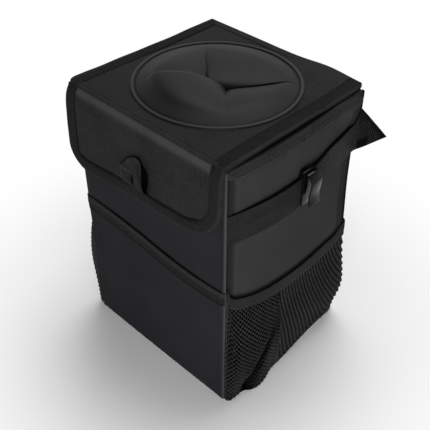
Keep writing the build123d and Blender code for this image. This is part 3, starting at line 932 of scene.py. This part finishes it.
leaves = {
    "front": dict(
        first=slitLine([(9, 1.5, 246.0), (1.5, -.5, 251.6), (-8, -8, 256.4), (-17, -17, 260.0), (-27, -27, 261.0),
                        (-35, -35, 259.4)], 225, 255.0),
        second=slitLine([(8.6, .6, 245.8), (17, -9, 251.6), (26, -18.5, 254.6), (35, -28, 255.8)], -41, 254.6),
        puff=1.3, dip=(.5, .1)),
    "right": dict(
        first=slitLine([(8.7, .7, 245.9), (17.0, -8.9, 251.6), (26.0, -18.4, 254.6), (35.0, -27.9, 255.8)],
                       -41, 254.6),
        second=slitLine([(9.2, 1.6, 246.4), (17.8, 9.9, 248.0), (27.8, 21.0, 250.2), (36, 30.6, 252.0)], 42, 252.8),
        puff=2.4, dip=(.1, .3)),
    "back": dict(
        first=slitLine([(8.8, 1.8, 247.2), (17.4, 10.4, 249.2), (27.4, 21.5, 251.4), (35.8, 30.9, 252.8)], 42, 253.0),
        second=slitLine([(2, -3, 248.0), (-8.4, -3.0, 251.6), (-18.2, 7.8, 252.8), (-27.8, 16.0, 253.6),
                         (-34, 22.8, 253.6)], 144, 253.2),
        puff=1.4, dip=(.2, .3)),
    "left": dict(
        first=slitLine([(-1, -7, 248.4), (-8.8, -3.4, 251.8), (-18.5, 7.4, 253.2), (-28.1, 15.6, 254.0),
                        (-34.2, 22.5, 253.8)], 144, 253.2),
        second=slitLine([(-1, -7, 248.0), (-8, -10, 251.6), (-16, -18, 254.2), (-26, -27.5, 255.8),
                         (-34.6, -35.4, 255.4)], 225, 254.2),
        puff=1.8, dip=(.3, .5)),
}
rimAngles = {"front": (225, 319), "right": (-41, 42), "back": (42, 144), "left": (144, 225)}


def leafFace(word):
    look, (start, end) = leaves[word], rimAngles[word]
    first, second = look["first"], look["second"]
    def place(u, v):
        a, b = along(first, v), along(second, v)
        x, y, z = a + (b - a) * u
        turn = math.radians(start + (end - start) * u)
        rim = np.array([disc["ring"] * math.cos(turn), disc["ring"] * math.sin(turn)])
        straight = first[-1][:2] + (second[-1][:2] - first[-1][:2]) * u
        x, y = np.array([x, y]) + (rim - straight) * v ** 2
        z += look["puff"] * 4 * u * (1 - u) * math.sin(math.pi * min(1, v)) ** .7
        edge = min(u, 1 - u)
        z -= look["dip"][int(u > .5)] * hump(edge, 0, .03) * (1 - ease(v, .8, .95))
        return (x, y, z - settle(y))
    return place


def discShading(x, y, z):
    # Painted highlight on the ring's ridge, and painted shade in the groove just inside it
    reach = math.hypot(x, y)
    return .5 * hump(reach, 64.8, .7) - .75 * hump(reach, 62.7, .55)


discRing = layCloth("discRing", 140, 30, ringFace, 0.9, (0, 0, 1), closed=True, angle=60)
leafPieces = [layCloth(f"leaf_{word}", 40, 36, leafFace(word), disc["sheet"], (0, 0, 1), angle=50)
              for word in leaves]
slitDisc = joinPieces("slitDisc", [discRing, *leafPieces])
paintLightAndShade(slitDisc, discShading)
finishPiece(slitDisc, "lid", cloth["discCloth"], "smooth_cloth", "slit_disc")
print("stage: lid and disc")

# Flap: its outer cloth starts at the stitch line on the lid and folds over the front edge
flap = dict(bottom=178.2, slope=.042, leftRound=20.0, rightRound=38.0, flare=3.0, faceY=-82.0, liningY=-79.2,
            foldShare=0.3, foldLow=220.0, liningTop=248.8)
flapDepth = ((178, 226, 234, 240.5, 246, 249.2, 250.3), (82.0, 82.2, 82.3, 81.8, 80.6, 79.4, 78.6))
flapLine = roundedLine([(-71.5, 250.35), (-77.2, 250.55), (-78.6, 250.3), (-79.4, 249.2), (-80.6, 246.0),
                        (-81.8, 240.5), (-82.3, 234.0), (-82.2, 226.0), (-82.0, 220.0)], 2)


def flapLow(x):
    return flap["bottom"] + flap["slope"] * x


def flapOut(x, z):
    fall = max(0.0, (249 - z) / 74)
    belly = 0.7 * math.sin(x / 21 + .6) * fall * (1 - fall) * 3
    return flap["flare"] * ease(-x, 0, 85) * fall ** 1.2 + belly


def flapLean(x, z):
    # The left edge leans out below the lid's front corner
    lean = spaced(z, (178, 194, 214, 228, 240, 246, 250.4), (3.4, 4.4, 4.4, 3.6, 2.4, 1.2, -.8))
    right = spaced(z, (200, 216, 230, 247), (0, .3, 1.2, 1.6))
    return x - lean * ease(-x, 45, 80) + right * ease(x, 55, 80)


def flapEdge(z, corner, sign):
    low = z - flapLow(sign * (80 - corner))
    if low >= corner:
        return sign * 80.0
    return sign * (80.0 - corner + math.sqrt(max(0.0, corner ** 2 - (corner - low) ** 2)))


def flapSpan(down, top):
    # A row of the flap, from its left edge to its right, at a share of the way down
    def at(u):
        leftLow, rightLow = flapLow(-80 + flap["leftRound"]), flapLow(80 - flap["rightRound"])
        z0 = top + (leftLow - top) * math.sin(math.pi / 2 * down)
        z1 = top + (rightLow - top) * math.sin(math.pi / 2 * down)
        left = flapEdge(max(z0, leftLow + .4), flap["leftRound"], -1)
        right = flapEdge(max(z1, rightLow + .4), flap["rightRound"], 1)
        return left + (right - left) * u, z0 + (z1 - z0) * u
    return at


def flapFace(u, v):
    # Over the lid's edge along flapLine, then flat down to the rounded lower edge
    fold = flap["foldShare"]
    if v < fold:
        x, (y, z) = -80 + 160 * u, along(flapLine, v / fold)
        return (flapLean(x, z), y - flapOut(x, z), z)
    x, z = flapSpan((v - fold) / (1 - fold), flap["foldLow"])(u)
    return (flapLean(x, z), flap["faceY"] - flapOut(x, z), z)


def flapThick(u, v):
    return 0.4 + 2.3 * ease(v, .12, .2)


flapCover = layCloth("flapCover", 120, 100, flapFace, flapThick, (0, -1, .3))


def flapShading(x, y, z):
    # Painted highlight along the fold, a little darker below it, and painted shadow under the pull tab and in a thin
    # line beside its left edge
    edge = spaced(z, (189, 196, 205, 214), (2.5, 6.5, 8.8, 8.4))
    under = ease(x, -18, -17) if z < 204 else ease(x, -6, -3)
    under *= 1 - ease(x, edge, edge + 1.2)
    under *= ease(z, 189, 191)
    under *= 1 - ease(z + .9 * max(0, x - 2), 217, 220)
    under = max(under, .5 * hump(x, -22.2, .8) * ease(z, 188, 190) * (1 - ease(z, 205, 208)))
    return .75 * hump(z, 247, 4) * (y < -79) - .2 * ease(246 - z, 0, 6) * (1 - under) - .97 * under


paintLightAndShade(flapCover, flapShading)
flapCover.data.materials.append(cloth["oxfordCloth"])
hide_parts("flap_cover", "flap_board")


def flapLiningFace(u, v):
    x, z = flapSpan(v, flap["liningTop"])(u)
    return (flapLean(x, z), flap["liningY"] - flapOut(x, z), z)


flapLining = layCloth("flapLining", 56, 44, flapLiningFace, 0.5, (0, -1, 0))
finishPiece(flapLining, "flap", cloth["linerFilm"], "liner_film", "flap_lining")

leftR, rightR = flap["leftRound"], flap["rightRound"]
outline = [(-80.4, z) for z in np.linspace(249.9, flapLow(-80 + leftR) + leftR, 12)[:-1]]
for corner, start, sign in ((leftR, 180, -1), (rightR, 270, 1)):
    middleX = sign * (80.4 - corner)
    for a in np.radians(np.linspace(start, start + 90, 14)):
        outline.append((middleX + corner * math.cos(a), flapLow(middleX) - .4 + corner + corner * math.sin(a)))
outline += [(80.4, z) for z in np.linspace(flapLow(80 - rightR) + rightR, 249.9, 9)[1:]]
outline = np.array(outline)
flapTapeEdge = np.array([(10.6, -82.4), (6.0, -82.75), (1.0, -82.55), (0.0, -81.9), (-0.15, -80.4), (0.0, -78.7),
                         (1.0, -78.2), (10.0, -78.25)])


def flapTapeFace(u, v):
    x, z = along(outline, u)
    ahead, behind = along(outline, min(1, u + .004)), along(outline, max(0, u - .004))
    tx, tz = (ahead - behind) / np.linalg.norm(ahead - behind)
    width, y = along(flapTapeEdge, v)
    width *= 1 + 0.22 * ease(flapLow(x) + 12 - z, 0, 10)
    x, z = x - tz * width, z + tx * width
    back = 82.2 - spaced(z, *flapDepth)
    y += back if y < -80 else back * .25
    return (flapLean(x, z), y - flapOut(x, z), z)


edgePoints = np.array([along(outline, t) for t in np.linspace(0, 1, 300)])


def flapTapeShading(x, y, z):
    # Distance in from the flap's edge: a painted highlight on the outer roll, and darker along the inner seam
    leaned = np.array([x - flapLean(0, z) - (flapLean(x, z) - x), z])
    inside = float(np.min(np.linalg.norm(edgePoints - leaned, axis=1)))
    return .25 * hump(inside, 1.1, .9) - .75 * ease(inside, 9.4, 10.8)


flapTape = layCloth("flapTape", 160, 28, flapTapeFace, 0.5, (0, -1, 0))
paintLightAndShade(flapTape, flapTapeShading)
finishPiece(flapTape, "flap", cloth["tapeTwill"], "tape", "flap_binding")
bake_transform(flapCover)

# Pull tab: one strip folded over itself at the top, with the slot between its two legs
tabOutline = np.array([(-6.5, 188.0), (-14, 188.0), (-21.4, 189.0), (-21.6, 197), (-21.0, 203), (-19.4, 206.6),
                       (-15.6, 210.6), (-11, 215.4), (-6.3, 219.4), (-1.6, 222), (2.6, 222.4), (5.4, 220.4),
                       (7.2, 216.6), (8.2, 212), (8.8, 208), (8.6, 200), (8.4, 194), (8.0, 189), (1, 188.0),
                       (-6.5, 188.0)])
tabSlot = np.array([(-7.3, 190.2), (-9.4, 190.6), (-9.6, 197), (-9.0, 202), (-7.9, 204.6), (-7.0, 205.0),
                    (-6.1, 204.4), (-5.4, 202), (-5.5, 197), (-5.9, 190.6), (-7.3, 190.2)])
tabMiddle = np.array([-7.2, 199.0])


def rayMeets(polygon, angle):
    heading = np.array([math.cos(angle), math.sin(angle)])
    best = 0.0
    for a, b in zip(polygon[:-1] - tabMiddle, polygon[1:] - tabMiddle):
        edge = b - a
        bottom = heading[0] * edge[1] - heading[1] * edge[0]
        if abs(bottom) > 1e-9:
            reach = (a[0] * edge[1] - a[1] * edge[0]) / bottom
            share = (a[0] * heading[1] - a[1] * heading[0]) / bottom
            if reach > 0 and -1e-6 <= share <= 1 + 1e-6:
                best = max(best, reach)
    return tabMiddle + heading * best


def tabFace(u, v):
    angle = 2 * math.pi * u - math.pi / 2
    inner, outer = rayMeets(tabSlot, angle), rayMeets(tabOutline, angle)
    x, z = inner + (outer - inner) * v
    stand = 0.1 + 1.5 * ease(z, 190, 193) + 1.2 * tabOver(x, z) * ease(z, 192, 196)
    stand += 4.4 * math.sin(math.pi * min(1, max(0, (z - 188.5) / 34.5))) * ease(x, -7, 8)
    return (x, -82.3 - flapOut(x, z) - stand, z)


def tabOver(x, z):
    # The strip comes up on the left, folds over on a slant, and goes down again on the right
    slant = (z - 203.6) + 0.07 * (x + 6)
    return max(ease(slant, -.5, .5), ease(x, -7.4, -6.4))


def tabShading(x, y, z):
    # Painted highlight on the slanting crease and along the tab's left and top edges; painted shade just below the
    # crease, over the right leg and beside the slot
    slant = (z - 203.6) + 0.07 * (x + 6)
    crease = hump(slant, .9, .7) * (x < -7)
    edge = hump(x, -21.0, .7) + .8 * hump(math.hypot(x + 1, z - 213), 9.0, .8) * (z > 212)
    side = -7.3 + 2.6 * math.copysign(1, x + 7.3)
    slot = hump(x, side, .9) * ease(z, 189, 191) * (1 - ease(z, 204, 206))
    return .45 * max(crease, edge) - .5 * hump(slant, -1.0, .8) * (x < -7) - .25 * ease(x, 2, 9) - .5 * slot


pullTab = layCloth("pullTab", 130, 14, tabFace, 0.9, (0, -1, 0), closed=True)
paintLightAndShade(pullTab, tabShading)
finishPiece(pullTab, "flap", cloth["tabCloth"], "outer_cloth", "pull_tab")


def patchFace(y):
    return lambda u, v: (-30 + 60 * u, y, 192 + 20 * v + .1 * math.sin(u * 9))


loopTape = layCloth("loopTape", 40, 14, patchFace(-77.2), 1.15, (0, -1, 0))
finishPiece(loopTape, "body", cloth["loopFuzz"], "closure", "loop_tape")
hookTape = layCloth("hookTape", 40, 14, patchFace(-77.5), 1.0, (0, 1, 0))
finishPiece(hookTape, "flap", cloth["hookTape"], "closure", "hook_tape")
print("stage: flap")


hingeLine = np.array([(77.5, 228.3), (77.7, 236), (78.0, 241), (78.3, 244.7), (77.9, 246.8), (76.5, 247.8),
                      (70.0, 247.85)])


def hingeFace(u, v):
    y, z = along(hingeLine, v)
    return (-78 + 156 * u, y, z)


hingeFold = layCloth("hingeFold", 60, 30, hingeFace, 0.45, (0, 1, 0))
hingeFold.data.materials.append(cloth["oxfordCloth"])
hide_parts("hinge_strip")
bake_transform(hingeFold)
print("stage: hinge fold")


# Side clips: one strip bent round the band, drawn as a line and given its width and wall
def bentStrip(name, lines, width, wall):
    parts = []
    for line in lines:
        deselectAll()
        bpy.ops.mesh.primitive_plane_add(size=1, location=(0, 0, 0))
        part = bpy.context.object
        start, rest = np.array(line[0]) * mm, [np.array(p) * mm for p in line[1:]]
        bpy.ops.object.mode_set(mode="EDIT")
        bpy.ops.mesh.select_mode(type="VERT")
        bpy.ops.mesh.merge(type="CENTER")
        bpy.ops.transform.translate(value=(start[0], -width / 2 * mm, start[1]))
        bpy.ops.mesh.extrude_region_move(TRANSFORM_OT_translate={"value": (0, width * mm, 0)})
        bpy.ops.mesh.select_all(action="SELECT")
        last = start
        for point in rest:
            step = point - last
            bpy.ops.mesh.extrude_region_move(TRANSFORM_OT_translate={"value": (step[0], 0, step[1])})
            last = point
        bpy.ops.mesh.select_all(action="SELECT")
        bpy.ops.mesh.remove_doubles(threshold=1e-6)
        bpy.ops.object.mode_set(mode="OBJECT")
        shell = part.modifiers.new("wall", "SOLIDIFY")
        shell.thickness, shell.offset = wall * mm, 0
        rounding = part.modifiers.new("edges", "BEVEL")
        rounding.width, rounding.segments = 0.35 * mm, 2
        applyModifiers(part)
        smoothFaces(part, 35)
        parts.append(part)
    return joinPieces(name, parts)


clip = dict(width=12.0, wall=1.4)
armLine = roundedLine([(1.65, 207.55), (5.4, 207.5), (7.0, 206.6), (8.6, 204.4), (9.9, 202.2), (9.2, 195.0),
                       (8.3, 188.9), (8.7, 184.0), (9.5, 180.15)], 1)
plateLine = [(1.65, 176.7), (1.65, 190), (1.65, 206.2), (1.2, 207.4), (0, 207.6), (-1.2, 207.4), (-1.65, 206.2),
             (-1.65, 196), (-1.65, 186.4)]
for sign, word in bothSides:
    sideClip = bentStrip(f"sideClip_{word}", [armLine, plateLine], clip["width"], clip["wall"])
    for vertex in sideClip.data.vertices:
        x, y, z = vertex.co
        vertex.co = (sign * (x + strap["reachX"] * mm), y + strap["middleY"] * mm, z)
    if sign < 0:
        sideClip.data.flip_normals()
    finishPiece(sideClip, f"clip_{word}", cloth["clipPlastic"], "clip_plastic", f"side_clip_{word}")
print("stage: clips")

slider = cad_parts["strap_slider"]
for slot in slider.material_slots:
    slot.material = cloth["sliderPlastic"]


# Stitches: one short thread, modelled once and copied along each seam
def threadSeed():
    deselectAll()
    bpy.ops.mesh.primitive_cylinder_add(vertices=6, radius=0.5, depth=1.0, location=(0, 0, 0),
                                        rotation=(0, math.pi / 2, 0))
    seed = bpy.context.object
    bpy.ops.object.transform_apply(rotation=True)
    bpy.ops.object.mode_set(mode="EDIT")
    bpy.ops.mesh.select_all(action="SELECT")
    bpy.ops.mesh.bevel(offset=0.16, segments=1)
    bpy.ops.object.mode_set(mode="OBJECT")
    points = np.array([v.co for v in seed.data.vertices])
    faces = [list(p.vertices) for p in seed.data.polygons]
    bpy.data.objects.remove(seed)
    return points, faces


seedPoints, seedFaces = threadSeed()


def sewLine(name, lines, up, body, material, slot, pitch=4.0, length=2.8, thick=0.55):
    # Each line is a list of points in millimetres; up is the way the cloth faces
    points, faces = [], []
    for line in lines:
        line = np.array(line, float)
        total = lineLength(line)
        count = max(1, int(total / pitch))
        for k in range(count):
            middle = along(line, (k + .5) / count)
            ahead = along(line, min(1, (k + .5) / count + .01)) - along(line, max(0, (k + .5) / count - .01))
            forward = ahead / np.linalg.norm(ahead)
            side = np.cross(np.array(up, float), forward)
            side /= np.linalg.norm(side)
            rise = np.cross(forward, side)
            frameAxes = np.array([forward * length, side * thick, rise * thick * .7])
            base = len(points)
            points.extend(middle + p @ frameAxes for p in seedPoints)
            faces.extend([base + i for i in f] for f in seedFaces)
    piece = meshPiece(name, np.array(points) * mm, faces)
    smoothFaces(piece, 50)
    finishPiece(piece, body, cloth[material], slot)


foldSeam = [(flapLean(x, 250), -74.6, 250.72) for x in np.linspace(-78, 78, 30)]
sewLine("stitchesFold", [foldSeam], (0, 0, 1), "lid", "thread", "outer_cloth")
for sign, word in bothSides:
    seam = [(sign * 71.2 + lidFlare(sign * 71.2, y), y, 250.62 - settle(y) + lidWave(sign * 71.2, y))
            for y in np.linspace(-72, 72, 30)]
    sewLine(f"stitchesLid_{word}", [seam], (0, 0, 1), "lid", "thread", "tape")
    seam = []
    for share in np.linspace(.03, .97, 60):
        x, y = along(netMouth, share)
        seam.append((sign * (x + netTape["face"] + .15), y, netTop(y) - netTape["tall"] + 1.0))
    zigzag = [(x, y, z + (.9 if k % 2 else -.9)) for k, (x, y, z) in enumerate(seam)]
    sewLine(f"stitchesElastic_{word}", [zigzag], (sign, 0, 0), "body", "paleThread", "elastic", pitch=3.2,
            length=2.2, thick=.6)
    for name, drop in (("upper", 5.0), ("lower", 9.0)):
        seam = [(sign * (sideBulge(y) + 1.75), y, settled(y, 245.0 - drop)) for y in np.linspace(-70, 70, 40)]
        sewLine(f"stitchesRim_{name}_{word}", [seam], (sign, 0, 0), "body", "thread", "tape", thick=.45)
tapeSeam = [flapTapeFace(u, .04) for u in np.linspace(.02, .98, 120)]
tapeSeam = [(x, y - .2, z) for x, y, z in tapeSeam]
sewLine("stitchesFlap", [tapeSeam], (0, -1, 0), "flap", "thread", "tape")
pocketSeam = [pocketTapeFace(u, .06) for u in np.linspace(.05, .95, 60)]
sewLine("stitchesPocket", [[(x, y - .15, z) for x, y, z in pocketSeam]], (0, -1, 0), "body", "thread", "tape")
print("stage: stitches")

# Floor, lights, world and camera
floorLook = bpy.data.materials.new("paleFloor")
floorLook.use_nodes = True
floorTree = floorLook.node_tree
floorShader = floorTree.nodes["Principled BSDF"]
floorShader.inputs["Base Color"].default_value = (0.95, 0.95, 0.95, 1)
floorShader.inputs["Roughness"].default_value = 0.9
floorShader.inputs["Specular IOR Level"].default_value = 0.1
# Away from the object the camera sees the floor white, and its shadow stays
reach = floorTree.nodes.new("ShaderNodeVectorMath")
reach.operation = "LENGTH"
floorPlace = floorTree.nodes.new("ShaderNodeTexCoord")
floorTree.links.new(floorPlace.outputs["Object"], reach.inputs[0])
fade = floorTree.nodes.new("ShaderNodeMapRange")
fade.interpolation_type = "SMOOTHSTEP"
fade.inputs["From Min"].default_value, fade.inputs["From Max"].default_value = 0.1, 0.32
floorTree.links.new(reach.outputs["Value"], fade.inputs["Value"])
seen = floorTree.nodes.new("ShaderNodeLightPath")
whiteness = maths(floorTree, "MULTIPLY", fade.outputs["Result"], seen.outputs["Is Camera Ray"])
blank = floorTree.nodes.new("ShaderNodeEmission")
mixed = floorTree.nodes.new("ShaderNodeMixShader")
floorTree.links.new(whiteness, mixed.inputs[0])
floorTree.links.new(floorShader.outputs[0], mixed.inputs[1])
floorTree.links.new(blank.outputs[0], mixed.inputs[2])
floorTree.links.new(mixed.outputs[0], floorTree.nodes["Material Output"].inputs["Surface"])
deselectAll()
bpy.ops.mesh.primitive_plane_add(size=6, location=(0, 0, -0.0002))
floor = bpy.context.object
floor.name = "floor"
floor.data.materials.append(floorLook)


def areaLamp(name, place, aim, size, power):
    data = bpy.data.lights.new(name, "AREA")
    data.shape, data.size, data.energy = "SQUARE", size, power
    lamp = bpy.data.objects.new(name, data)
    lamp.location = place
    lamp.rotation_euler = (Vector(aim) - Vector(place)).to_track_quat("-Z", "Y").to_euler()
    bpy.context.scene.collection.objects.link(lamp)


areaLamp("topSoftbox", (-0.2, 0.5, 1.3), (0, 0, 0.15), 0.9, 12)
areaLamp("rightSoftbox", (0.65, -0.75, 0.25), (0, 0, 0.12), 0.4, 6.5)
areaLamp("sideSoftbox", (1.2, -0.5, 0.4), (0, 0, 0.12), 0.6, 2.5)

# The sky is white along the horizon and darker overhead, as in a light tent with its top closed
world = bpy.data.worlds.new("studio")
bpy.context.scene.world = world
world.use_nodes = True
sky = world.node_tree
background = sky.nodes["Background"]
direction = sky.nodes.new("ShaderNodeTexCoord")
height = sky.nodes.new("ShaderNodeSeparateXYZ")
sky.links.new(direction.outputs["Generated"], height.inputs[0])
zenith = sky.nodes.new("ShaderNodeMapRange")
zenith.inputs["From Min"].default_value, zenith.inputs["From Max"].default_value = 0.1, 0.95
zenith.inputs["To Min"].default_value, zenith.inputs["To Max"].default_value = 1.0, 0.12
sky.links.new(height.outputs["Z"], zenith.inputs["Value"])
rays = sky.nodes.new("ShaderNodeLightPath")
shown = maths(sky, "MAXIMUM", rays.outputs["Is Camera Ray"], rays.outputs["Is Transmission Ray"])
tent = maths(sky, "MULTIPLY", zenith.outputs["Result"],
             maths(sky, "MULTIPLY_ADD", rays.outputs["Is Glossy Ray"], 0.5, 0.5))
background.inputs["Color"].default_value = (1, 1, 1, 1)
sky.links.new(maths(sky, "MAXIMUM", shown, tent), background.inputs["Strength"])

cameraData = bpy.data.cameras.new("photoCamera")
cameraData.lens, cameraData.sensor_width = 61.452, 36
camera = bpy.data.objects.new("photoCamera", cameraData)
camera.location = (0.33785, -0.35464, 0.53665)
camera.rotation_euler = [math.radians(a) for a in (49.3073, -0.0339, 43.8439)]
bpy.context.scene.collection.objects.link(camera)
bpy.context.scene.camera = camera
bpy.context.scene.view_settings.view_transform = "Standard"
